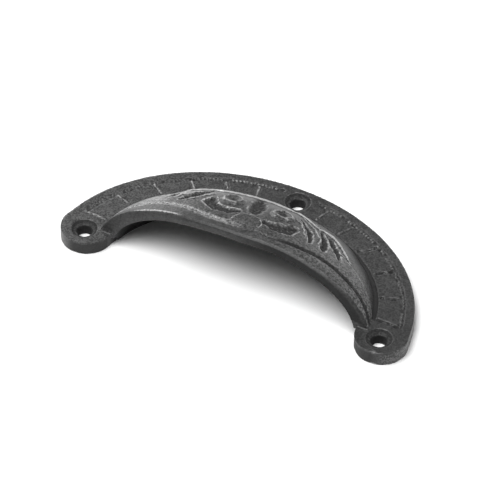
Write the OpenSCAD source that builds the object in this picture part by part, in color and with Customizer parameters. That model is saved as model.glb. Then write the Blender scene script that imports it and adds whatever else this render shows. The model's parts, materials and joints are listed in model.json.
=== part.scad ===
// Cup pull for a drawer front, one iron casting: a carved hood on an arched screw plate.
// It lies on its back. The flat back is at z = 0, the two ear screws are in line along X,
// the arched top of the plate is towards +Y and the finger mouth opens towards -Y.

/* [Plate] */
// Distance between the two ear screw holes
ear_spacing = 88; // [76:1:120]
// Radius of the round ear behind each ear screw
ear_r = 7.15; // [6:0.05:9]
// How far the middle of an ear sits above the line of the ear screws
ear_lift = 1.45; // [0:0.05:2]
// Height of the plate's arched top above the ear screws
plate_rise = 41; // [38:0.1:50]
// How far the centre of the plate's oval lies below the ear screws
axis_drop = 2; // [1:0.1:3]
// Width of the plate above the hood
rim_top = 9.5; // [8.5:0.1:12]
// Thickness of the plate
plate_t = 4; // [3:0.1:5]

/* [Screw holes] */
// Diameter of the screw holes
hole_d = 4.1; // [3:0.1:5]
// Diameter of the countersinks at the face
sink_d = 7.3; // [5.5:0.1:7.6]
// Depth of the countersinks
sink_depth = 1.2; // [0.8:0.1:2.2]
// Distance of the top screw hole from the plate's arched edge
top_hole_inset = 4.9; // [4.3:0.1:5.3]
// How far the top hole was drilled to the right of the middle
top_hole_shift = 1.4; // [-3:0.1:3]

/* [Hood] */
// Distance from each ear screw to the end of the hood
hood_gap = 3.1; // [3:0.1:6]
// How far the crest of the hood stands out from the back
hood_h = 19.4; // [15:0.1:26]
// Squareness of the arch, 2 is a plain ellipse
arch_power = 2.15; // [2:0.05:2.5]
// Thickness of the hood at the lip
lip_t = 2.4; // [2:0.1:3.5]
// Thickness of the hood's wall at its back edge
back_wall_t = 3.4; // [2.8:0.1:5]
// Thickness of the hood's wall at its two ends
end_wall_t = 4.5; // [3.5:0.1:6]
// How far the foot of the lip stands above the ear screws
lip_y = 0.6; // [0.4:0.1:2]
// How far the lip leans back for each millimetre of height
lip_lean = 0.2; // [0:0.05:0.3]
// Width of the soft bevel along the lip's outer edge
lip_bevel = 0.5; // [0.2:0.05:0.9]

/* [Border] */
// Width of the beaded line round the plate
bead_w = 0.55; // [0.4:0.05:1.2]
// Height of the beaded line and of the ribs
border_h = 0.25; // [0.15:0.05:0.8]
// Distance of the beaded line from the plate's edge at the top
bead_inset_top = 2.7; // [1.5:0.1:3.5]
// Distance of the beaded line from the plate's edge at the sides
bead_inset_side = 3.2; // [2:0.1:4.5]
// Radius of the gap in the beaded line round the top screw hole
bead_gap = 5.5; // [4.5:0.1:8]
// Width of the ribs
rib_w = 0.5; // [0.4:0.05:1.2]
// Gap between a rib and the beaded line
rib_gap_out = 0.9; // [0.5:0.1:2]
// Gap between a rib and the foot of the hood
rib_gap_in = 1.6; // [0.8:0.1:2]
// Number of ribs on each side of the top screw hole
rib_count = 5; // [2:1:5]
// Angle of the first rib from the upright
rib_first = 15.8; // [14:0.1:20]
// Angle from one rib to the next
rib_step = 13.6; // [8:0.1:14]
// Height of the straight rib that closes the border above each ear screw
border_end = 5.6; // [4.8:0.1:8]

/* [Carving] */
// Half the width of the widest leaf flutes
flute_half = 1.2; // [0.6:0.05:1.4]
// Depth of the widest leaf flutes
flute_depth = 1; // [0.4:0.05:1.2]
// Half the width of the sunk ground under the bosses
ground_half = 1.9; // [1:0.1:2.4]
// Depth of the sunk ground
ground_depth = 0.9; // [0.3:0.05:1]
// Width of the slope into the sunk ground
ground_slope = 1.3; // [0.6:0.1:1.6]
// Half the width of the crest ridge
crest_half = 0.9; // [0.5:0.1:1.5]
// Height of the crest ridge
crest_h = 0.5; // [0.1:0.05:0.8]
// Depth by which the two flanks lie under the leaf
flank_depth = 0.5; // [0.2:0.05:0.8]
// Half the width of the groove along the lip band
groove_half = 0.45; // [0.3:0.05:0.7]
// Depth of that groove
groove_depth = 0.5; // [0.2:0.05:0.8]
// Radius of the round bosses
boss_r = 4.1; // [3:0.1:5]
// Height of the bosses
boss_h = 1.2; // [0.8:0.1:2]
// Radius of the dished eye in a boss
eye_r = 2.3; // [1.5:0.1:2.6]
// Depth of that eye
eye_depth = 1.2; // [0.5:0.1:1.6]
// Radius of the half-round lobe in the middle of the lip band
lobe_r = 4.9; // [3:0.1:6]
// Height of that lobe
lobe_h = 0.3; // [0.2:0.05:1]

/* [Detail] */
// Number of steps along the hood
steps_along = 104; // [60:2:108]
// Number of rows of carving between the plain wall and the lip band
rows_carving = 26; // [16:1:27]

/* [Hidden] */
$fn = 96;
axis_y = -axis_drop;
ear_x = ear_spacing / 2;
plate_a = ear_x + ear_r;
plate_b = plate_rise + axis_drop;
bead_a = plate_a - bead_inset_side;
bead_b = plate_b - bead_inset_top;
top_hole_y = plate_rise - top_hole_inset;
bore_l = plate_t - sink_depth;
hood_a = ear_x - hood_gap;
hood_b = plate_b - rim_top;
inner_a = hood_a - end_wall_t;
inner_b = hood_b - back_wall_t;
inner_h = hood_h - lip_t;
// Overlap by which the pieces of the casting run into each other
seam = 0.6;
// Overshoot of the cutting shapes
clear = 1;

// The hood is a quarter of a squared ellipsoid about the line y = axis_y. A place on it is a
// share of its half width from the middle, and a share of the way up from the back to the lip.
round_power = 2 / arch_power;
end_angle = 80;
wall_top = 0.42;
inner_rows = 8;

// Leaf flutes, each a list of [share of the half width, share of the way up, share of flute_half].
// The pattern was carved by eye, so the left leaf is not quite the mirror of the right one.
flute_lines = [
    [[0.24, 0.555, 0.25], [0.303, 0.62, 0.6], [0.362, 0.68, 0.8], [0.399, 0.745, 0.83], [0.42, 0.79, 0.58]],
    [[0.401, 0.56, 0.33], [0.455, 0.63, 0.83], [0.494, 0.695, 1], [0.511, 0.75, 0.92], [0.518, 0.775, 0.67]],
    [[0.428, 0.545, 0.25], [0.489, 0.58, 0.75], [0.545, 0.635, 1], [0.594, 0.675, 0.92],
        [0.631, 0.735, 0.42]],
    [[0.616, 0.655, 0.38], [0.665, 0.635, 0.38], [0.711, 0.644, 0.33], [0.77, 0.63, 0.3],
        [0.819, 0.68, 0.25]],
    [[0.274, 0.45, 0.25], [0.325, 0.485, 0.45], [0.372, 0.5, 0.25]],
    [[-0.411, 0.5, 0.35], [-0.43, 0.56, 0.95], [-0.455, 0.66, 1.05], [-0.479, 0.73, 0.92],
        [-0.501, 0.775, 0.42]],
    [[-0.56, 0.53, 0.4], [-0.567, 0.58, 0.8], [-0.575, 0.65, 0.83], [-0.587, 0.71, 0.67],
        [-0.597, 0.74, 0.33]]];
// Sunk ground round the bosses, each a list of [share of the half width, share of the way up,
// share of ground_half]
ground_lines = [
    [[-0.073, 0.52, 1], [-0.044, 0.62, 1.42], [-0.02, 0.73, 1.26]],
    [[0.11, 0.82, 0.74], [0.183, 0.82, 1], [0.252, 0.79, 1.16], [0.276, 0.75, 0.84]],
    [[-0.103, 0.8, 0.58], [-0.171, 0.835, 0.84], [-0.257, 0.835, 0.84], [-0.323, 0.765, 0.9],
        [-0.328, 0.7, 0.47]]];
// The crest first, then the leaf edges, each a list of [share of the half width, share of the way up,
// share of crest_half]
ridge_lines = [
    [[-0.599, 0.62, 0.45], [-0.55, 0.52, 0.9], [-0.44, 0.46, 1], [-0.318, 0.46, 1], [-0.196, 0.45, 1],
        [0, 0.44, 1], [0.196, 0.45, 1], [0.293, 0.5, 0.9], [0.386, 0.56, 0.8], [0.408, 0.53, 0.9], [0.467, 0.51, 1],
        [0.528, 0.53, 1], [0.587, 0.574, 1], [0.636, 0.594, 0.9], [0.697, 0.62, 0.55]],
    [[0.245, 0.5, 0.5], [0.308, 0.56, 0.6], [0.367, 0.6, 0.7], [0.42, 0.65, 0.7], [0.455, 0.7, 0.7],
        [0.467, 0.755, 0.5]],
    [[0.23, 0.6, 0.4], [0.284, 0.65, 0.5], [0.325, 0.7, 0.5], [0.375, 0.78, 0.4]],
    [[-0.35, 0.6, 0.4], [-0.394, 0.69, 0.6], [-0.44, 0.755, 0.6], [-0.48, 0.8, 0.4]],
    [[-0.48, 0.56, 0.4], [-0.517, 0.66, 0.6], [-0.555, 0.73, 0.6], [-0.6, 0.77, 0.4]]];
boss_places = [[0.144, 0.67], [-0.205, 0.68]];
lobe_place = [0, 0.905];

function swell(part) = pow(max(0, part), round_power);
function size_at(x_share) = pow(1 - pow(x_share, arch_power), 1 / arch_power);
function lip_angle(size, b, h) =
    acos(min(1, (lip_y - axis_y) / (size * norm([b, lip_lean * h])))) - atan2(lip_lean * h, b);
function on_hood(x, size, up, b, h) = let (turn = up * lip_angle(size, b, h))
    [x, axis_y + b * size * cos(turn), h * size * sin(turn)];
function at_angle(angle, up, a, b, h) =
    on_hood(sign(angle) * a * swell(abs(sin(angle))), swell(cos(angle)), up, b, h);
function outward(p) = let (
    size = norm([(p.y - axis_y) / hood_b, p.z / hood_h]),
    across = pow(size, arch_power - 2),
    slope = [sign(p.x) * pow(abs(p.x) / hood_a, arch_power - 1) / hood_a,
        across * (p.y - axis_y) / pow(hood_b, 2), across * p.z / pow(hood_h, 2)]
) slope / norm(slope);

// A stroke on the hood is a list of [place, half width]
function placed(q) = on_hood(q[0] * hood_a, size_at(abs(q[0])), q[1], hood_b, hood_h);
function stroke(line, half) = [for (q = line) [placed(q), q[2] * half]];
flutes = [for (line = flute_lines) stroke(line, flute_half)];
grounds = [for (line = ground_lines) stroke(line, ground_half)];
ridges = [for (line = ridge_lines) stroke(line, crest_half)];
bosses = [for (q = boss_places) placed(q)];
lobe = placed(lobe_place);

function ramp(v, from, to) = let (s = max(0, min(1, (v - from) / (to - from)))) s * s * (3 - 2 * s);
// How deep a place lies inside a stroke: [its distance from the stroke's edge, the half width there]
function inside_piece(p, a, b) = let (
    d = b[0] - a[0],
    s = max(0, min(1, ((p - a[0]) * d) / (d * d))),
    half = a[1] + s * (b[1] - a[1])
) [half - norm(p - a[0] - s * d), half];
function round_pit(in) = in[0] <= 0 ? 0 : in[1] * (1 - pow(1 - in[0] / in[1], 2));
function flute(p, line) = max([for (i = [0:len(line) - 2]) round_pit(inside_piece(p, line[i], line[i + 1]))]);
function inside(p, line) = max([for (i = [0:len(line) - 2]) inside_piece(p, line[i], line[i + 1])[0]]);
function ridge(p, line) = max([for (i = [0:len(line) - 2]) let (in = inside_piece(p, line[i], line[i + 1]))
    ramp(in[0], 0, in[1]) * in[1] / crest_half]);
function dome(gap, r) = gap >= r ? 0 : pow(1 - pow(gap / r, 2), 0.6);

// The groove runs closer to the lip in the middle than at the ends
function groove_up(x_share) = 0.935 - 0.07 * ramp(x_share, 0.16, 0.68) - 0.02 * ramp(x_share, 0.68, 0.95);
function groove_span(size) = groove_half / (2 * hood_h * size);

// Height of the carving over the hood's plain body
function carving(p, up, size) = let (
    x_share = abs(p.x) / hood_a,
    from_boss = min([for (b = bosses) norm(p - b)]),
    groove_at = groove_up(x_share),
    span = groove_span(size),
    field = 1 - ramp(up, groove_at - 3 * span, groove_at - span),
    rises = [for (line = ridges) ridge(p, line)],
    uncut = 1 - rises[0],
    ground = ground_depth * field * uncut
        * max([for (line = grounds) ramp(inside(p, line), 0, ground_slope)]),
    boss_top = dome(from_boss, boss_r) * (boss_h + ground_depth) - ground_depth,
    lobe_top = (1 - ramp(norm(p - lobe), lobe_r - ground_slope / 2, lobe_r)) * (field * lobe_h + ground_depth)
        - ground_depth,
    ridge_top = crest_h * max(rises) - ground,
    leaf = uncut * flute_depth / flute_half * max([for (line = flutes) flute(p, line)]),
    flank = flank_depth * ramp(x_share, 0.54, 0.71) * (1 - ramp(up, 0.6, 0.66)),
    eye = from_boss >= eye_r ? 0 : eye_depth * (1 - pow(from_boss / eye_r, 2)),
    groove = groove_depth * max(0, 1 - abs(up - groove_at) / span)
) max(boss_top, lobe_top, ridge_top) - leaf - flank - eye - groove;

module hood() {
    stations = [for (i = [0:steps_along]) end_angle * (2 * i / steps_along - 1)];
    // Rows of the outside from the back up to the lip, at one station along the hood
    function rows_at(x_share, size) = let (
        groove_at = groove_up(x_share),
        span = groove_span(size),
        last = groove_at - span
    ) concat(
        [0, 0.11, 0.2, 0.3, 0.37],
        [for (i = [0:rows_carving]) wall_top + (last - wall_top) * i / rows_carving],
        [groove_at, groove_at + span, 0.98]);
    rows = len(rows_at(0, 1));
    loop = rows + 1 + inner_rows + 1;
    function outside_points(angle) = let (
        x_share = swell(abs(sin(angle))),
        size = swell(cos(angle))
    ) [for (up = rows_at(x_share, size)) let (p = at_angle(angle, up, hood_a, hood_b, hood_h))
        p + carving(p, up, size) * outward(p)];
    // One closed loop at each station: up the outside, over the bevelled lip, down the inside
    points = [for (s = stations) each concat(
        outside_points(s),
        [at_angle(s, 1, hood_a - lip_bevel, hood_b - lip_bevel, hood_h - lip_bevel)],
        [for (i = [0:inner_rows]) at_angle(s, 1 - i / inner_rows, inner_a, inner_b, inner_h)])];
    sides = [for (i = [0:steps_along - 1]) for (k = [0:loop - 1])
        let (a = i * loop + k, b = i * loop + (k + 1) % loop)
        each [[a, b, b + loop], [a, b + loop, a + loop]]];
    // Each end is closed by triangles between the inside and the outside rows
    function inner_row(i) = rows + 1 + inner_rows - i;
    function outer_row(i) = round(i * rows / inner_rows);
    cap = [for (i = [0:inner_rows - 1]) each concat(
        [for (k = [outer_row(i):outer_row(i + 1) - 1]) [inner_row(i), k, k + 1]],
        [[inner_row(i), outer_row(i + 1), inner_row(i + 1)]])];
    last = steps_along * loop;
    far_cap = [for (t = cap) [last + t[0], last + t[2], last + t[1]]];
    polyhedron(points, concat(sides, cap, far_cap), convexity = 6);
}

module oval(a, b) {
    translate([0, axis_y])
        scale([a, b])
            circle(r = 1, $fn = 180);
}

module above(y) {
    translate([-plate_a - clear, y])
        square([2 * (plate_a + clear), plate_b + clear]);
}

module plate() {
    linear_extrude(plate_t)
        difference() {
            union() {
                intersection() {
                    oval(plate_a, plate_b);
                    above(lip_y);
                }
                for (side = [-1, 1])
                    translate([side * ear_x, ear_lift])
                        circle(r = ear_r);
            }
            oval(inner_a + seam, inner_b + seam);
        }
}

module bead_line() {
    difference() {
        oval(bead_a + bead_w / 2, bead_b + bead_w / 2);
        oval(bead_a - bead_w / 2, bead_b - bead_w / 2);
        translate([top_hole_shift, top_hole_y])
            circle(r = bead_gap);
    }
}

module ribs() {
    difference() {
        intersection() {
            oval(bead_a - rib_gap_out, bead_b - rib_gap_out);
            union() {
                for (side = [-1, 1], i = [0:rib_count - 1])
                    rotate(side * (rib_first + i * rib_step))
                        translate([-rib_w / 2, 0])
                            square([rib_w, plate_a]);
                translate([-plate_a, border_end])
                    square([2 * plate_a, rib_w]);
            }
        }
        oval(hood_a + rib_gap_in, hood_b + rib_gap_in);
    }
}

module border() {
    translate([0, 0, plate_t - seam])
        linear_extrude(border_h + seam)
            intersection() {
                above(border_end);
                union() {
                    bead_line();
                    ribs();
                }
            }
}

module screw_hole() {
    translate([0, 0, -clear])
        cylinder(d = hole_d, h = plate_t + clear);
    translate([0, 0, bore_l])
        cylinder(d1 = hole_d, d2 = sink_d, h = sink_depth);
    translate([0, 0, plate_t])
        cylinder(d = sink_d, h = hood_h);
}

module cup_pull() {
    color([0.27, 0.27, 0.28])
        difference() {
            union() {
                plate();
                border();
                hood();
            }
            for (side = [-1, 1])
                translate([side * ear_x, 0])
                    screw_hole();
            translate([top_hole_shift, top_hole_y])
                screw_hole();
        }
}

cup_pull();
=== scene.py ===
# %% [markdown]
# # A cast iron cup pull
# This lesson dresses one iron casting: a drawer pull with a carved hood on an arched screw plate. The
# solid model gives its size, its holes and its main forms. Here the casting gets what the sand mould gave
# the real one: soft edges, crisp carving, a row of beads and a grainy dark skin, worn lighter where hands
# and cloths reach. Painted highlights and painted shade go into the skin's colour as well.

# %% Load the solid model
import json
import math
import bmesh
import bpy
import numpy as np
from mathutils import Matrix, Vector, noise

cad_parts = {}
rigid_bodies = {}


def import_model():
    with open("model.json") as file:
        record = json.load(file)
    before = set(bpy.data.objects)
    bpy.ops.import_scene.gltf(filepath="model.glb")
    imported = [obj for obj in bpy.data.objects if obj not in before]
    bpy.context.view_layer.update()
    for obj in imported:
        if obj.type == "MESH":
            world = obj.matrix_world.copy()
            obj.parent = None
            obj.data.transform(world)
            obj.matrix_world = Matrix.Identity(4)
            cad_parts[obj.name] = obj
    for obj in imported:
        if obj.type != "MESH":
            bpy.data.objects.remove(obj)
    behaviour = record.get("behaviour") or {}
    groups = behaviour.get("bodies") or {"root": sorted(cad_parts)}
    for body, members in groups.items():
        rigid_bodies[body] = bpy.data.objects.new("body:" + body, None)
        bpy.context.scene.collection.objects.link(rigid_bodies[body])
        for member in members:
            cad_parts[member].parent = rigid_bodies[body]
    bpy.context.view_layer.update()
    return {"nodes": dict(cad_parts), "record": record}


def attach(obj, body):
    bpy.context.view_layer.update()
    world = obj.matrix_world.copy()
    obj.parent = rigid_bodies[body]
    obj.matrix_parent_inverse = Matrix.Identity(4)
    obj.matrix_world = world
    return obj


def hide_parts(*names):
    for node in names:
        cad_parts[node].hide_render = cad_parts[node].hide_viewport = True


for leftover in list(bpy.data.objects):
    bpy.data.objects.remove(leftover)
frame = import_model()
solid = frame["nodes"]["cup_pull"]
print("the solid model:", len(solid.data.polygons), "triangles")

# %% [markdown]
# ## Sizes
# Blender counts in metres, and a carver of small patterns thinks in millimetres. So the sizes below are
# in millimetres, the casting is worked on at a thousand times its size, and it is scaled back at the end.
# The screw places are read from the model's record, and the other sizes are those of the solid.

# %% Sizes of the casting, in millimetres
MM = 0.001
mounts = {m["name"]: m for m in frame["record"]["mounts"]}
ear_x = mounts["ear_screws"]["dims"]["spacing_x_mm"] / 2
top_hole = np.array(mounts["top_screw"]["pos_m"][:2]) / MM
holes = [np.array((-ear_x, 0)), np.array((ear_x, 0)), top_hole]
sink_r, bore_edge = 3.65, 2.2
plate_t = 4.0
axis_y = -2.0
plate_a, plate_b = ear_x + 7.15, 43.0
bead_a, bead_b = plate_a - 3.2, plate_b - 2.7
hood_a, hood_b, hood_h = ear_x - 3.1, 33.5, 19.4
arch_power = 2.15
lip_y, lip_lean = 0.6, 0.2
print(f"ear screws {2 * ear_x:.0f} mm apart, top screw at {top_hole.round(1)} mm")

# %% [markdown]
# ## The raw casting
# A casting has no knife edges: the sand rounds every corner a little, and every piece of the pattern runs
# into the next with a small fillet. A voxel remesh does just that. It fills the solid with tiny cubes and
# skins them with an even net, which also leaves plenty of points for the carving. The solid's own mesh
# stays as it is, and a copy of it, merged first because its triangles are loose, goes into the remesh.

# %% Copy the solid at a thousand times its size
MERGE_GAP = 1e-7
casting = bpy.data.objects.new("casting", bpy.data.meshes.new("casting"))
bpy.context.scene.collection.objects.link(casting)
bm = bmesh.new()
bm.from_mesh(solid.data)
bmesh.ops.remove_doubles(bm, verts=bm.verts, dist=MERGE_GAP)
bmesh.ops.scale(bm, vec=(1 / MM,) * 3, verts=bm.verts)
bm.to_mesh(casting.data)
bm.free()
print("merged copy:", len(casting.data.vertices), "points")

# %% Skin the copy with an even net
VOXEL = 0.19


def bake(piece):
    """Applies the piece's modifiers to its own mesh."""
    depsgraph = bpy.context.evaluated_depsgraph_get()
    mesh = bpy.data.meshes.new_from_object(piece.evaluated_get(depsgraph))
    piece.modifiers.clear()
    old, piece.data = piece.data, mesh
    bpy.data.meshes.remove(old)


remesh = casting.modifiers.new("sand_mould", "REMESH")
remesh.mode = "VOXEL"
remesh.voxel_size = VOXEL
soften = casting.modifiers.new("soft_edges", "SMOOTH")
soften.factor = 0.5
soften.iterations = 4
bake(casting)
print("raw casting:", len(casting.data.vertices), "points")

# %% [markdown]
# ## Places on the hood
# The hood is a quarter of a squared ellipsoid, so any point on it has two simple coordinates: a place
# across, and a share of the way up from the plate to the lip. The carving is drawn in those two, and
# these helpers turn them into places and directions on the plain hood.


# %% The hood's width and its lip
def ramp(value, start, end):
    """Goes smoothly from 0 at start to 1 at end."""
    s = np.clip((value - start) / (end - start), 0, 1)
    return s * s * (3 - 2 * s)


def size_at(x):
    """How large the hood's cross-section is at x, as a share of the middle one."""
    part = np.clip(np.abs(x) / hood_a, 0, 0.9999)
    return (1 - part**arch_power) ** (1 / arch_power)


def lip_angle(x):
    """The angle from the plate up to the lip at x."""
    lean = lip_lean * hood_h
    reach = (lip_y - axis_y) / (size_at(x) * math.hypot(hood_b, lean))
    return np.arccos(np.clip(reach, -1, 1)) - math.atan2(lean, hood_b)


print(f"in the middle the lip stands {math.degrees(lip_angle(0.0)):.0f} degrees up from the plate")

# %% Points and directions on the hood
SHARE_MM = 34


def on_hood(x, turn):
    """The plain hood's surface at x, turned up from the back plate by an angle."""
    size = size_at(x)
    return np.stack([x, axis_y + hood_b * size * np.cos(turn), hood_h * size * np.sin(turn)], -1)


def outward(points):
    """Unit normals of the plain hood."""
    x, y, z = points[:, 0], points[:, 1] - axis_y, points[:, 2]
    across = np.hypot(y / hood_b, z / hood_h) ** (arch_power - 2)
    along = np.sign(x) * (np.abs(x) / hood_a) ** (arch_power - 1) / hood_a
    slope = np.stack([along, across * y / hood_b**2, across * z / hood_h**2], -1)
    return slope / np.linalg.norm(slope, axis=1, keepdims=True)


def bulk(points):
    """1 on the plain hood, less inside it and more outside."""
    x, y, z = points.T
    section = np.hypot((y - axis_y) / hood_b, z / hood_h)
    return ((np.abs(x) / hood_a) ** arch_power + section**arch_power) ** (1 / arch_power)


def off_hood(points):
    """About how many millimetres each point lies outside the hood, near its foot."""
    return SHARE_MM * (bulk(points) - 1)


print("middle of the lip, in mm:", on_hood(0.0, lip_angle(0.0)).round(1))

# %% [markdown]
# ## The leaf carving
# The carver of the wooden pattern cut leaves with a gouge: each flute is a lens-shaped hollow with a
# round bottom, and what is left between two flutes is a sharp edge. Round the two bosses the ground is
# sunk flat instead, and a crest line with a few finer ridges is left standing. So a stroke here is a row
# of places with a half width at each: the place across in millimetres, the share of the way up, the half
# width in millimetres.


# %% Flutes of the gouge
def stroke(line):
    """The stroke's places on the hood and its half widths."""
    x, up, half = np.array(line, float).T
    return on_hood(x, up * lip_angle(x)), half


flutes = [stroke(line) for line in (
    [(9.8, 0.555, 0.3), (12.4, 0.62, 0.75), (14.8, 0.68, 0.95), (16.3, 0.745, 1), (17.2, 0.79, 0.7)],
    [(16.4, 0.56, 0.4), (18.6, 0.63, 1), (20.2, 0.695, 1.2), (20.9, 0.75, 1.1), (21.2, 0.775, 0.8)],
    [(17.5, 0.545, 0.3), (20, 0.58, 0.9), (22.3, 0.635, 1.2), (24.3, 0.675, 1.1), (25.8, 0.735, 0.5)],
    [(25.2, 0.655, 0.45), (27.2, 0.635, 0.45), (29.1, 0.644, 0.4), (31.5, 0.63, 0.35), (33.5, 0.68, 0.3)],
    [(11.2, 0.45, 0.3), (13.3, 0.485, 0.55), (15.2, 0.5, 0.3)],
    [(-16.6, 0.5, 0.6), (-17.6, 0.56, 1.6), (-18.8, 0.66, 1.9), (-20, 0.73, 1.7), (-21.2, 0.785, 0.6)],
    [(-22.9, 0.53, 0.7), (-23.6, 0.58, 1.4), (-24.2, 0.65, 1.5), (-24.9, 0.71, 1.2), (-25.6, 0.75, 0.5)])]
print(len(flutes), "flutes")

# %% Sunk ground, ridges, bosses and lobe
BOSS_R, LOBE_R = 4.1, 4.9
grounds = [stroke(line) for line in (
    [(-3, 0.52, 2.2), (-1.8, 0.62, 3.1), (-0.8, 0.73, 2.7)],
    [(4.6, 0.82, 1.7), (7.5, 0.825, 2.4), (10.2, 0.795, 2.7), (11.3, 0.75, 1.9)],
    [(-4.4, 0.8, 1.3), (-7, 0.83, 1.9), (-10.5, 0.825, 2.1), (-13.2, 0.765, 2.3), (-13.6, 0.7, 1.4)])]
ridges = [stroke(line) for line in (
    [(-24.5, 0.62, 0.4), (-22.5, 0.52, 0.8), (-18, 0.46, 0.9), (-13, 0.46, 0.9), (-8, 0.45, 0.9),
     (0, 0.44, 0.9), (8, 0.45, 0.9), (12, 0.5, 0.8), (15.8, 0.56, 0.7), (16.7, 0.53, 0.8),
     (19.1, 0.51, 0.9), (21.6, 0.53, 0.9), (24, 0.574, 0.9), (26, 0.594, 0.8), (28.5, 0.62, 0.5)],
    [(10, 0.5, 0.45), (12.6, 0.56, 0.55), (15, 0.6, 0.6), (17.2, 0.65, 0.65), (18.6, 0.7, 0.65),
     (19.1, 0.755, 0.45)],
    [(9.4, 0.6, 0.35), (11.6, 0.65, 0.45), (13.3, 0.7, 0.45), (15.3, 0.78, 0.35)],
    [(-14.3, 0.6, 0.35), (-16.1, 0.69, 0.55), (-18, 0.755, 0.55), (-19.6, 0.8, 0.35)],
    [(-19.6, 0.56, 0.35), (-21.1, 0.66, 0.55), (-22.7, 0.73, 0.55), (-24.5, 0.77, 0.35)])]
bosses = stroke([(5.9, 0.65, BOSS_R), (-8.4, 0.67, BOSS_R)])[0]
lobe = stroke([(0, 0.905, LOBE_R)])[0][0]
print(len(grounds), "sunk grounds,", len(ridges), "ridges,", len(bosses), "bosses and a lobe")

# %% [markdown]
# ## The height of the carving
# A point's depth follows from how far it lies inside a stroke. A flute is cut deeper where it is wider,
# as a gouge pressed harder does. The bosses are domes with a dished eye, a half-round lobe stands between
# them at the lip, and a groove runs along the lip band. No hand cuts a perfectly even line, so the points
# are shifted by a little noise before they are measured, and every line wanders.

# %% Depth of one stroke
FULL_RIDGE = 0.9


def inside(points, line):
    """How far each point lies inside a stroke, and the stroke's half width there."""
    depth, width = np.full(len(points), -np.inf), np.ones(len(points))
    places, halves = line
    for a, b, half_a, half_b in zip(places[:-1], places[1:], halves[:-1], halves[1:]):
        step = b - a
        share = np.clip((points - a) @ step / (step @ step), 0, 1)
        half = half_a + share * (half_b - half_a)
        here = half - np.linalg.norm(points - a - share[:, None] * step, axis=1)
        width = np.where(here > depth, half, width)
        depth = np.maximum(depth, here)
    return depth, width


def gouged(points, line):
    """Depth of a flute with a round bottom."""
    depth, width = inside(points, line)
    deepest = np.minimum(0.65 * width, 0.95)
    return np.where(depth > 0, deepest * (1 - (1 - depth / width) ** 2), 0)


def ridge_rise(points, line):
    """How far up a rounded ridge each point is, as a share of a full ridge."""
    depth, width = inside(points, line)
    return width / FULL_RIDGE * ramp(depth / width, 0, 1)


print(f"deepest flute {max(gouged(line[0], line).max() for line in flutes):.2f} mm")

# %% Wandering lines and the groove
HAND_WAVER, WAVER_SIZE = 0.5, 1.6


def grain(points, size):
    """Even noise between about -1 and 1, with lumps of a given size."""
    return np.array([noise.noise(p) for p in points / size])


def hand_cut(points):
    """The points, shifted a little each way."""
    shifts = [grain(points + offset, WAVER_SIZE) for offset in (0, 30, 60)]
    return points + HAND_WAVER * np.stack(shifts, -1)


def groove_up(x):
    """The groove runs closer to the lip in the middle than at the ends."""
    part = np.abs(x) / hood_a
    return 0.935 - 0.07 * ramp(part, 0.16, 0.68) - 0.02 * ramp(part, 0.68, 0.95)


print(f"the groove lies {groove_up(0.0):.3f} of the way up, at the ends {groove_up(hood_a):.3f}")

# %% Height of the whole carving
GROUND_DEPTH = 0.9
GROUND_SLOPES = (2.2, 1.4, 1.4)
RIDGE_RISE, BOSS_RISE, LOBE_RISE = 0.5, 1.2, 0.3
EYE_R, EYE_DEPTH = 2.3, 1.2
FLANK_DEPTH = 0.5


def carving(points, up):
    """Height over the plain hood, and how sunk, near the groove and on the crest each point is."""
    points = hand_cut(points)
    x = points[:, 0]
    from_boss = np.min([np.linalg.norm(points - boss, axis=1) for boss in bosses], axis=0)
    from_lobe = np.linalg.norm(points - lobe, axis=1)
    from_groove = (up - groove_up(x)) * 2 * hood_h * size_at(x)
    field = 1 - ramp(from_groove, -1.4, -0.5)
    rises = [ridge_rise(points, line) for line in ridges]
    uncut = 1 - rises[0]
    sinks = [ramp(inside(points, line)[0], 0, slope) for line, slope in zip(grounds, GROUND_SLOPES)]
    sunk = field * uncut * np.maximum.reduce(sinks)
    ridge_top = RIDGE_RISE * np.maximum.reduce(rises) - GROUND_DEPTH * sunk
    dome = np.clip(1 - (from_boss / BOSS_R) ** 2, 0, 1) ** 0.6
    boss_top = (BOSS_RISE + GROUND_DEPTH) * dome - GROUND_DEPTH
    lobe_top = (LOBE_RISE * field + GROUND_DEPTH) * (1 - ramp(from_lobe, 4.2, LOBE_R)) - GROUND_DEPTH
    leaf = uncut * np.maximum.reduce([gouged(points, line) for line in flutes])
    flank = FLANK_DEPTH * ramp(np.abs(x), 22, 29) * (1 - ramp(up, 0.6, 0.66))
    eye = EYE_DEPTH * np.clip(1 - (from_boss / EYE_R) ** 2, 0, 1)
    to_right = ramp(x, 2, 16)
    groove = (0.2 + 0.7 * to_right) * np.clip(1 - np.abs(from_groove) / (0.5 + 0.1 * to_right), 0, 1)
    height = np.maximum.reduce([ridge_top, boss_top, lobe_top]) - leaf - flank - eye - groove
    sunk *= 1 - ramp(boss_top, -GROUND_DEPTH, -0.1)
    near_groove = 1 - ramp(np.abs(from_groove), 0.4, 1.2)
    return height, np.maximum(sunk, ramp(leaf, 0.1, 0.5)), near_groove, rises[0]


print(f"bosses stand {BOSS_RISE} mm proud, the ground round them is {GROUND_DEPTH} mm deep")

# %% [markdown]
# ## Cutting it into the hood
# Only the outside of the hood is carved. Each of its points is put on the plain hood first and then moved
# out or in by the height of the carving. The lip of the real casting isn't quite straight: its middle
# stands about a millimetre further forward than its ends, so a smooth bow moves the points at the lip.


# %% Carve the hood
def read_points(mesh, what):
    """The place or the normal of every point of the mesh."""
    flat = np.empty(3 * len(mesh.vertices))
    mesh.vertices.foreach_get(what, flat)
    return flat.reshape(-1, 3)


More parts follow.
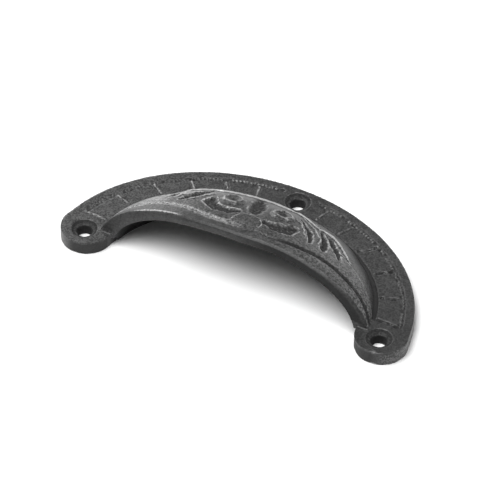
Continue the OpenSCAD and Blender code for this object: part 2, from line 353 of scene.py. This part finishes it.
co = read_points(casting.data, "co")
lip_gap = co[:, 1] - lip_y - lip_lean * co[:, 2]
raw_share = bulk(co)
outer_limit = np.where(co[:, 2] > plate_t + 0.5, 1.23, 1.03)
on_outside = (raw_share > 0.925) & (raw_share < outer_limit) & (co[:, 2] > plate_t + 0.15)
on_outside &= (np.abs(co[:, 0]) < 0.985 * hood_a) & (lip_gap > 0.4)
turn = np.arctan2(co[on_outside, 2] / hood_h, (co[on_outside, 1] - axis_y) / hood_b)
plain = on_hood(co[on_outside, 0], turn)
height, *carved = carving(plain, turn / lip_angle(plain[:, 0]))
co[on_outside] = plain + height[:, None] * outward(plain)
sunk, near_groove, crest = np.zeros((3, len(co)))
sunk[on_outside], near_groove[on_outside], crest[on_outside] = carved
print(f"carved {on_outside.sum()} points, {height.min():.2f} to {height.max():.2f} mm")

# %% Bow the lip forward
LIP_BOW, BOW_X = 1.1, -5
bow = (1 - ramp(np.abs(co[:, 0] - BOW_X), 4, 20)) * (1 - ramp(lip_gap, 0.5, 6)) * ramp(co[:, 2], 8, 13)
co[:, 1] -= LIP_BOW * bow
print(f"lip bowed forward by up to {LIP_BOW * bow.max():.2f} mm")

# %% [markdown]
# ## Beads
# Round the plate runs a row of small beads, punched into the pattern one by one, so no two are quite
# alike. Each is less than a millimetre across, which is too little for a separate piece. So the points of
# the plate's face are lifted where a bead is, and every bead draws its own height and its own small
# shift.


# %% The plate's face and the bead line
def along_oval(x, y):
    """Distance along the bead line and away from it, and the line's length."""
    angle = np.linspace(0, math.pi, 2000)
    line = np.stack([bead_a * np.cos(angle), bead_b * np.sin(angle)], -1)
    length = np.concatenate([[0], np.cumsum(np.linalg.norm(np.diff(line, axis=0), axis=1))])
    here = np.arctan2((y - axis_y) / bead_b, x / bead_a)
    away = (np.hypot(x / bead_a, (y - axis_y) / bead_b) - 1) * np.hypot(x, y - axis_y)
    return np.interp(here, angle, length), away, length[-1]


level = co * (1, 1, 0) + (0, 0, plate_t)
face = (co[:, 2] > plate_t - 0.1) & (bulk(level) > 1.012) & (co[:, 2] < plate_t + 0.5)
for hole in holes:
    face &= np.linalg.norm(co[:, :2] - hole, axis=1) > sink_r + 0.1
flat = co[face, :2]
along, away, whole = along_oval(*flat.T)
beaded = (np.linalg.norm(flat - top_hole, axis=1) > 5.5) & (flat[:, 1] > 5.6)
print(f"the plate's face has {face.sum()} points, the bead line is {whole:.0f} mm long")

# %% Lift the beads
BEAD_R, BEAD_PITCH = 0.42, 1.02
rng = np.random.default_rng(11)
count = int(whole / BEAD_PITCH) + 2
bead_height = rng.choice([0.05, 0.16, 0.24, 0.32], count, p=[0.15, 0.35, 0.3, 0.2])
shift_along = rng.uniform(-0.14, 0.14, count)
shift_out = rng.uniform(-0.16, 0.16, count)
number = np.round(along / BEAD_PITCH).astype(int)
from_bead = np.hypot(along - number * BEAD_PITCH - shift_along[number], away - shift_out[number])
beads = bead_height[number] * np.sqrt(np.clip(1 - (from_bead / BEAD_R) ** 2, 0, 1)) * beaded
dirt_and_shade, beading = np.zeros((2, len(co)))
beading[face] = beads > 0
lifted = beads.copy()
# darker along the bead line between the beads
dirt_and_shade_here = (1 - ramp(np.abs(away), 0.45, 0.95)) * (beads < 0.06) * beaded
print(f"{count} beads, up to {beads.max():.2f} mm high")

# %% [markdown]
# ## Ribs and the crease
# Short thin ribs stand like the rays of a fan between the beads and the hood, and one more lies above
# each ear. On the left they are clear. On the right the outer ones are worn down, with painted shade and
# small pits where they stood, and the standing ribs have painted shade along their sides. A narrow crease,
# deeper on the right, runs along the foot of the hood and is darkened with painted shade as well. The
# heights are gathered first, and the face is set once at the end.

# %% Places of the ribs
RIB_FIRST, RIB_STEP = 15.8, 13.6


def rib_ends(angle):
    """The two ends of a rib that leans from the upright by an angle."""
    reach = np.linspace(20, 60, 2000)[:, None] * (math.sin(angle), math.cos(angle))
    x, y = reach.T
    clear = ((np.hypot(x / (bead_a - 0.9), (y - axis_y) / (bead_b - 0.9)) < 1)
             & (np.hypot(x / (hood_a + 1.6), (y - axis_y) / (hood_b + 1.6)) > 1))
    return reach[clear][[0, -1]]


rib_heights = {-1: (0.24, 0.3, 0.36, 0.42, 0.36), 1: (0.24, 0.28, 0.04, 0.04, 0.04)}
ribs = []
for side, rises in rib_heights.items():
    for i, rise in enumerate(rises):
        ribs.append((rib_ends(side * math.radians(RIB_FIRST + RIB_STEP * i)), rise))
for side in rib_heights:
    above_ear = np.array(((side * 40.6, 5.85), (side * 46.0, 5.85)))
    ribs.append((above_ear, 0.15 - 0.1 * side))
print(len(ribs), "ribs")

# %% Lift the ribs, and clog and pit the worn ones
RIB_HALF, WORN_RISE, PIT_DEPTH = 0.32, 0.1, 0.55


def gap_to(points, ends):
    """Each point's distance from a straight line between two ends."""
    step = ends[1] - ends[0]
    share = np.clip((points - ends[0]) @ step / (step @ step), 0, 1)
    return np.linalg.norm(points - ends[0] - share[:, None] * step, axis=1)


for rib, rise in ribs:
    from_rib = gap_to(flat, rib)
    close = from_rib < 1
    gap = from_rib[close]
    waver = np.array([noise.noise((*p, 0)) for p in flat[close] / 1.6])
    profile = np.clip(1 - (gap / (RIB_HALF + 0.4 * rise + 0.15 * waver)) ** 2, 0, 1)
    lifted[close] = np.maximum(lifted[close], rise * ramp(waver, -0.45, -0.05) * profile)
    # painted shade on the worn ribs and along the sides of the standing ones
    clogged_and_shaded = (1 - ramp(gap, 0.35, 0.9)) * np.where(rise < WORN_RISE, 0.9, 0.6 * (profile < 0.2))
    dirt_and_shade_here[close] = np.maximum(dirt_and_shade_here[close], clogged_and_shaded)
    if rise < WORN_RISE:
        lifted[close] -= PIT_DEPTH * ramp(waver, -0.1, 0.25) * (1 - ramp(gap, 0.3, 0.65))
dirt_and_shade_here *= np.array([0.5 + 0.9 * noise.noise((*p, 3)) for p in flat / 1.3]).clip(0, 1)
print(sum(rise < WORN_RISE for rib, rise in ribs), "ribs are worn down")

# %% Cut the crease and set the face
CREASE_DEPTH, DIRT_DEPTH = 0.9, 0.25


def set_points(mesh, points):
    """Moves every point of the mesh to its new place."""
    mesh.vertices.foreach_set("co", points.ravel())
    mesh.update()


crease = 1 - ramp(off_hood(level[face]), 0.35, 0.65)
crease = crease * (0.3 + 0.7 * ramp(flat[:, 0], 0, 18)) * ramp(flat[:, 1], 4.5, 6.5)
lifted = lifted * (1 - crease) - DIRT_DEPTH * dirt_and_shade_here - CREASE_DEPTH * crease
# the crease is darkened with painted shade
dirt_and_shade[face] = np.maximum(dirt_and_shade_here, crease)
co[face, 2] = plate_t + lifted
set_points(casting.data, co)
print(f"the plate's face now lies between {lifted.min():.2f} and {lifted.max():.2f} mm")

# %% [markdown]
# ## The sand's skin
# Iron takes the print of the sand it was poured in. The faces are a little wavy, they have a grain, and
# the grain is coarser in the countersinks, the groove and the sunk ground, which nobody could file clean.
# Noise that moves the points along their normals gives all three, and the finest grain is left to the
# bump in the finish.

# %% Roughen the skin
from_hole = np.min([np.linalg.norm(co[:, :2] - hole, axis=1) for hole in holes], axis=0)
in_hole = (from_hole < sink_r + 0.05) & (co[:, 2] < plate_t - 0.12)
cone = in_hole & (from_hole > bore_edge)
groove_left = near_groove * (1 - ramp(co[:, 0], 6, 14))
skin = 0.05 * grain(co, 5.0) + 0.025 * grain(co, 1.1)
skin += 0.15 * cone * grain(co + 70, 0.7)
skin += np.maximum(0.26 * sunk, 0.16 * groove_left) * grain(co + 40, 0.6)
co = co + skin[:, None] * read_points(casting.data, "normal")
set_points(casting.data, co)
print(f"skin moved by {skin.min():.2f} to {skin.max():.2f} mm")

# %% [markdown]
# ## How proud each point stands
# Edges that stand proud are rubbed bright and get painted highlights, and hollows keep the old wax and
# dirt and get painted shade. Both follow from the shape. When the net is smoothed, points on an edge sink
# in and points in a hollow rise, so the way each point would go tells how proud it stands. A few rounds of
# smoothing find the fine edges, and many find the broad hollows.

# %% Measure the edges and the hollows
FINE_ROUNDS, BROAD_ROUNDS = 8, 60


def smoothed(mesh, values, rounds):
    """The values, averaged over the neighbours again and again."""
    ends = np.empty(2 * len(mesh.edges), int)
    mesh.edges.foreach_get("vertices", ends)
    ends = ends.reshape(-1, 2)
    count = np.bincount(ends.ravel(), minlength=len(values))
    for _ in range(rounds):
        values = np.stack([
            (np.bincount(ends[:, 0], column[ends[:, 1]], len(column))
             + np.bincount(ends[:, 1], column[ends[:, 0]], len(column))) / count
            for column in values.T], -1)
    return values


normals = read_points(casting.data, "normal")
near = smoothed(casting.data, co, FINE_ROUNDS)
far = smoothed(casting.data, near, BROAD_ROUNDS)
proud = ((co - near) * normals).sum(1)
hollow = ((far - co) * normals).sum(1)
print(f"proudest point {proud.max():.2f} mm, deepest hollow {hollow.max():.2f} mm")

# %% [markdown]
# ## Wear, grime, handling and painted light
# Three marks go with the casting, each from 0 to 1 at every point. Wear is bare metal together with
# painted highlight: the proud edges of the carving, brighter on the left with painted highlight, the right
# end of the hood and the chipped lower edges of the ears are worn, and painted highlights lie along the
# crest, on the left end of the hood and on the left of the groove. Grime is old wax and dirt in the hollows
# and countersinks, together with painted shade in the hollows, the countersinks, the sunk ground and
# flutes, the groove on the right, the crease, the lip's front and the ears' sides. Handled is the greyer
# skin that hands and cloths leave, strongest at the two ends of the hood, together with painted light that
# makes the plate lighter on the left and the ends of the ears lighter. The finish reads all three as
# attributes.

# %% Parts of the casting
x, y, z = co.T
hood_share = bulk(co)
on_top = z > plate_t - 0.3
on_lip = (lip_gap < 2.2) & (z > plate_t + 1)
on_ear = (np.abs(x) > 37) & (y < 4.5) & ~on_outside
by_foot = ~on_outside & (off_hood(co) < 1.8)
lip_left = ramp(x, -33, -27) * (1 - ramp(x, -20, -14)) * (hood_share > 0.97) * (lip_gap > 0.3)
print(f"{on_lip.sum()} points on the lip, {on_ear.sum()} on the ears")

# %% How much of each edge's wear and painted highlight is kept
# edges on the left keep more: wear together with painted highlight
hood_kept_and_highlit = 0.5 + 0.25 * ramp(-x, 10, 16) + 0.08 * ramp(x, 8, 14)
plate_kept_and_highlit = 0.42 - 0.12 * ramp(x, 0, 12) - 0.22 * ramp(x, 28, 42)
plate_kept_and_highlit += (0.08 - 0.33 * beading) * ramp(-x, 14, 30)
kept_and_highlit = np.where(on_outside, hood_kept_and_highlit, plate_kept_and_highlit)
kept_and_highlit[by_foot] *= 0.1
kept_and_highlit *= 1 - near_groove * (0.6 + 0.4 * ramp(x, -2, 10))
kept_and_highlit = np.where(on_lip, 0.05 + 0.9 * lip_left, kept_and_highlit)
chipped = (0.9 - 0.75 * ramp(z[on_ear], 1.5, 3)) * ramp(grain(co[on_ear] + 5, 2.5), 0.05, 0.3)
kept_and_highlit[on_ear] = 0.1 + chipped
print(f"on average {kept_and_highlit[on_outside].mean():.2f} of the wear is kept on the hood")

# %% Wear and painted highlight
off_groove = on_outside * (1 - near_groove)
wear_and_highlight = np.maximum.reduce([
    # proud edges: wear, with painted highlight where more is kept
    kept_and_highlit * ramp(proud, 0.01, 0.075),
    # painted highlight along the crest
    ramp(crest - 0.25 * ramp(x, 4, 14), 0.03, 0.45),
    # painted highlight on the left end of the hood
    0.4 * ramp(-x, 20, 27) * off_groove * ramp(lip_gap, 2, 5),
    0.34 * ramp(x, 29, 37) * off_groove * (1 - ramp(lip_gap, 3, 5)),
    # painted highlight along the left part of the groove
    0.45 * near_groove * (1 - ramp(x, -6, 8))])
print(f"wear: {wear_and_highlight.mean():.3f} on average")

# %% Grime and painted shade
# painted shade in a narrow band at the foot of the hood
foot_shade = (1 - ramp(np.hypot(off_hood(co), z - plate_t), 0.45, 0.75)) * ramp(y, 4.5, 6)
at_foot = (1 - ramp(z - plate_t, 1, 2.5)) * (y > 1)
grime_and_shade = np.maximum.reduce([
    # old wax and dirt in the hollows, with painted shade, less at the foot
    ramp(hollow, 0.02, 0.3) * (1 - 0.65 * at_foot),
    # dirt and painted shade in the countersinks, darkest under the rim
    in_hole * (1 - 0.45 * cone * (1 - ramp(from_hole, 2.7, 3.2))),
    foot_shade,
    # dirt along the bead line, and painted shade by the ribs and in the crease
    dirt_and_shade,
    # painted shade in the sunk ground and the flutes
    0.85 * sunk,
    # painted shade on the lip's front face, darker to the right
    0.8 * (on_lip & ~on_outside & (hood_share < 0.97)) * ramp(x, -12, 15),
    # duller and darker along the lip's edge, except at its left
    0.35 * (on_lip & (hood_share > 0.93)) * (1 - lip_left),
    # painted shade in the groove on the right
    ramp(near_groove, 0.7, 0.97) * ramp(x, 4, 15),
    # painted shade on the ears' sides, except at their ends
    0.5 * (on_ear & ~on_top) * (1 - ramp(np.abs(x), 44, 47))])
grime_and_shade *= 1 - 0.85 * ramp(crest, 0, 0.15)
print(f"grime: {grime_and_shade.mean():.3f} on average")

# %% Handling and painted light
# painted light: the plate's top lighter to the left, and a little lighter at its upper right
plate_grey_and_light = 0.3 - 0.24 * ramp(x, -45, 10) + 0.09 * ramp(x, 0, 15) * ramp(y, 8, 28)
# painted light on the ends of the ears
side_painted_light = 0.55 * ramp(np.abs(x), 45, 48.5) * (1 - ramp(y, 5, 14))
band_left = (1 - ramp(lip_gap, 2.5, 4.5)) * (1 - ramp(x, -2, 8))
# greyer at both ends of the hood: handling, with painted light on the left
hood_grey_and_light = 0.3 + 0.4 * ramp(-x, 8, 22) + 0.2 * ramp(x, 8, 24) + 0.25 * ramp(x, 27, 36)
hood_grey_and_light *= 1 - 0.6 * band_left
# darker towards the foot of the hood
hood_grey_and_light *= 0.3 + 0.7 * ramp(z - 0.45 * np.maximum(lip_gap, 0), 0, 5)
handled_and_lit = np.where(on_outside, hood_grey_and_light, np.where(on_top, plate_grey_and_light, side_painted_light))
handled_and_lit = np.where(on_lip & ~on_outside, 0.05, handled_and_lit) * (hood_share > 0.9)
handled_and_lit[in_hole] = 0.3 * cone[in_hole]
print(f"handled: {handled_and_lit.mean():.3f} on average")

# %% Store the marks
marks = {"wear_and_highlight": wear_and_highlight, "grime_and_shade": grime_and_shade, "handled_and_lit": handled_and_lit}
for name, values in marks.items():
    casting.data.attributes.new(name, "FLOAT", "POINT").data.foreach_set("value", values)
    print(f"{name}: {100 * (values > 0.5).mean():.1f} % of the points")

# %% [markdown]
# ## Back to metres
# The even net is finer than the flat places need. A decimation takes out the points that carry no shape,
# and then the casting goes back to its true size.

# %% Thin out the net and scale it back
TRIANGLES = 190_000
casting.data.calc_loop_triangles()
thin = casting.modifiers.new("thin_out", "DECIMATE")
thin.ratio = min(1, TRIANGLES / len(casting.data.loop_triangles))
bake(casting)
bm = bmesh.new()
bm.from_mesh(casting.data)
bmesh.ops.scale(bm, vec=(MM,) * 3, verts=bm.verts)
for polygon in bm.faces:
    polygon.smooth = True
bm.to_mesh(casting.data)
bm.free()
casting.data.calc_loop_triangles()
print("casting:", len(casting.data.loop_triangles), "triangles")

# %% [markdown]
# ## The finish
# Old iron hardware is nearly black: oxide and wax over grey metal. The dark skin is mottled, handled
# places are speckled grey and carry painted light, the proud edges show the metal and painted highlights,
# and the grimy hollows are dull and nearly black with painted shade. A small class wraps the shader's
# sockets, so that the sums below read as sums.


# %% Sums with shader sockets
class Flow:
    """One output of a shader node, which can be reckoned with like a number."""

    def __init__(self, tree, socket):
        self.tree, self.socket = tree, socket

    @classmethod
    def node(cls, tree, kind, settings, inputs, output=0):
        """Makes a node, fills or links its inputs, and wraps one of its outputs."""
        made = tree.nodes.new(kind)
        for name, value in settings.items():
            setattr(made, name, value)
        for name, value in inputs.items():
            if isinstance(value, cls):
                tree.links.new(value.socket, made.inputs[name])
            else:
                made.inputs[name].default_value = value
        return cls(tree, made.outputs[output])

    def reckon(self, operation, first, second):
        return self.node(self.tree, "ShaderNodeMath", {"operation": operation}, {0: first, 1: second})

    def __add__(self, other):
        return self.reckon("ADD", self, other)

    def __sub__(self, other):
        return self.reckon("SUBTRACT", self, other)

    def __rsub__(self, other):
        return self.reckon("SUBTRACT", other, self)

    def __mul__(self, other):
        return self.reckon("MULTIPLY", self, other)

    __radd__ = __add__
    __rmul__ = __mul__

    def between(self, low, high):
        """0 below low, 1 above high, and smooth between."""
        return self.node(self.tree, "ShaderNodeMapRange", {"interpolation_type": "SMOOTHSTEP"},
                         {"Value": self, "From Min": low, "From Max": high})

    def blend(self, first, second):
        """The first colour where this is 0 and the second where it is 1."""
        return self.node(self.tree, "ShaderNodeMix", {"data_type": "RGBA"}, {0: self, 6: first, 7: second}, 2)

# %% Speckles and marks
iron = bpy.data.materials.new("dark_iron")
iron.use_nodes = True
tree = iron.node_tree
place = Flow.node(tree, "ShaderNodeTexCoord", {}, {}, "Object")


def speckle(size_mm, detail):
    """Noise with spots of a given size."""
    return Flow.node(tree, "ShaderNodeTexNoise", {},
                     {"Vector": place, "Scale": 1 / (size_mm * MM), "Detail": detail, "Roughness": 0.6})


def mark(name):
    """One of the casting's own marks."""
    return Flow.node(tree, "ShaderNodeAttribute", {"attribute_name": name}, {}, "Fac")


clouds = speckle(6, 4)
spots = speckle(1.1, 3)
dust = speckle(0.5, 1)
# worn metal together with painted highlight
rubbed_and_highlit = (mark("wear_and_highlight") * (0.9 * spots + 1.4 * dust - 0.3)).between(0.12, 0.75)
# dirt together with painted shade
grimy_and_shaded = mark("grime_and_shade").between(0.1, 0.9)
print("speckles and marks:", len(tree.nodes), "nodes")


# %% Dark iron
def grey(value):
    """A colour without a hue."""
    return (value, value, value, 1)


shader = tree.nodes["Principled BSDF"]
mottled = (clouds * 0.3 + spots * 0.3 + dust * 0.4).between(0.38, 0.62)
skin_tone = mottled.blend(grey(0.017), grey(0.037))
grey_tone = (spots * 0.3 + dust * 0.7).between(0.38, 0.62).blend(grey(0.012), grey(0.17))
# handling grey together with painted light
handled_and_lit_tone = mark("handled_and_lit").blend(skin_tone, grey_tone)
metal_and_highlight_tone = rubbed_and_highlit.blend(handled_and_lit_tone, grey(0.4))
relief = 0.6 * spots + 0.4 * dust
bump = {"Strength": 0.45, "Distance": 0.00015, "Height": relief}
finish = {
    # nearly black where there is dirt and painted shade
    "Base Color": (grimy_and_shaded * 0.75).blend(metal_and_highlight_tone, grey(0.008)),
    "Roughness": 0.32 + 0.16 * spots - 0.1 * rubbed_and_highlit + 0.5 * grimy_and_shaded,
    "Metallic": 0.3 * rubbed_and_highlit,
    "Normal": Flow.node(tree, "ShaderNodeBump", {}, bump),
}
for name, value in finish.items():
    tree.links.new(value.socket, shader.inputs[name])
shader.inputs["Specular IOR Level"].default_value = 0.38
casting.data.materials.clear()
casting.data.materials.append(iron)
print("dark iron:", len(tree.nodes), "nodes")

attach(casting, "root")
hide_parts("cup_pull")

# %% [markdown]
# ## Floor, light and camera
# The pull lies on white paper. A broad soft lamp above does most of the work, so the crest of the hood
# shines and the finger mouth lies in shadow. A second one from the left and behind brightens the left
# end, a weak one behind draws the far edge, and the weakest, from the right, lifts the shadows on the
# right. The camera is far away with a long lens, in the place that was worked out from the ear holes and
# the outline.

# %% White paper
FLOOR_HALF = 1.5
bm = bmesh.new()
bmesh.ops.create_grid(bm, x_segments=1, y_segments=1, size=FLOOR_HALF)
floor = bpy.data.objects.new("floor", bpy.data.meshes.new("floor"))
bm.to_mesh(floor.data)
bm.free()
bpy.context.scene.collection.objects.link(floor)
paper = bpy.data.materials.new("white_paper")
paper.use_nodes = True
paper_shader = paper.node_tree.nodes["Principled BSDF"]
paper_shader.inputs["Base Color"].default_value = grey(0.9)
paper_shader.inputs["Roughness"].default_value = 0.9
floor.data.materials.append(paper)
print("white paper:", 2 * FLOOR_HALF, "m square")

# %% Lamps
LIT_SPOT = Vector((0, 0.015, 0))


def soft_light(name, power, size, spot):
    """A square lamp of a given power and size that shines on the pull."""
    lamp = bpy.data.lights.new(name, "AREA")
    lamp.energy = power
    lamp.size = size
    lamp_object = bpy.data.objects.new(name, lamp)
    bpy.context.scene.collection.objects.link(lamp_object)
    lamp_object.location = spot
    lamp_object.rotation_euler = (LIT_SPOT - Vector(spot)).to_track_quat("-Z", "Y").to_euler()


soft_light("top_lamp", 10.5, 0.66, (-0.1, -0.2, 0.8))
soft_light("left_lamp", 2.6, 0.5, (-0.62, 0.42, 0.3))
soft_light("back_lamp", 1.5, 0.5, (0.1, 0.9, 0.3))
soft_light("right_lamp", 0.7, 0.5, (0.75, 0.1, 0.2))
world = bpy.context.scene.world or bpy.data.worlds.new("studio")
bpy.context.scene.world = world
world.use_nodes = True
background = world.node_tree.nodes["Background"]
background.inputs["Color"].default_value = grey(1)
background.inputs["Strength"].default_value = 0.1
bpy.context.scene.view_settings.view_transform = "Standard"
print("lamps:", [lamp.name for lamp in bpy.data.lights])

# %% Camera
PHOTO_PIXELS, FOCAL_PIXELS, SENSOR_MM = 480, 3762.7, 36
azimuth, elevation = math.radians(28.21), math.radians(43.46)
aim = Vector((-4.722, 14.655, 5.0)) * MM
outwards = math.cos(elevation)
back = Vector((math.sin(azimuth) * outwards, -math.cos(azimuth) * outwards, math.sin(elevation)))
right = Vector((math.cos(azimuth), math.sin(azimuth), 0))
camera = bpy.data.objects.new("camera", bpy.data.cameras.new("camera"))
bpy.context.scene.collection.objects.link(camera)
turned = Matrix((right, back.cross(right), back)).transposed().to_4x4()
camera.matrix_world = Matrix.Translation(aim + back) @ turned
camera.data.sensor_width = SENSOR_MM
camera.data.lens = FOCAL_PIXELS / PHOTO_PIXELS * SENSOR_MM
camera.data.clip_start = 0.01
bpy.context.scene.camera = camera
print(f"camera {back.length:.2f} m away with a {camera.data.lens:.0f} mm lens")
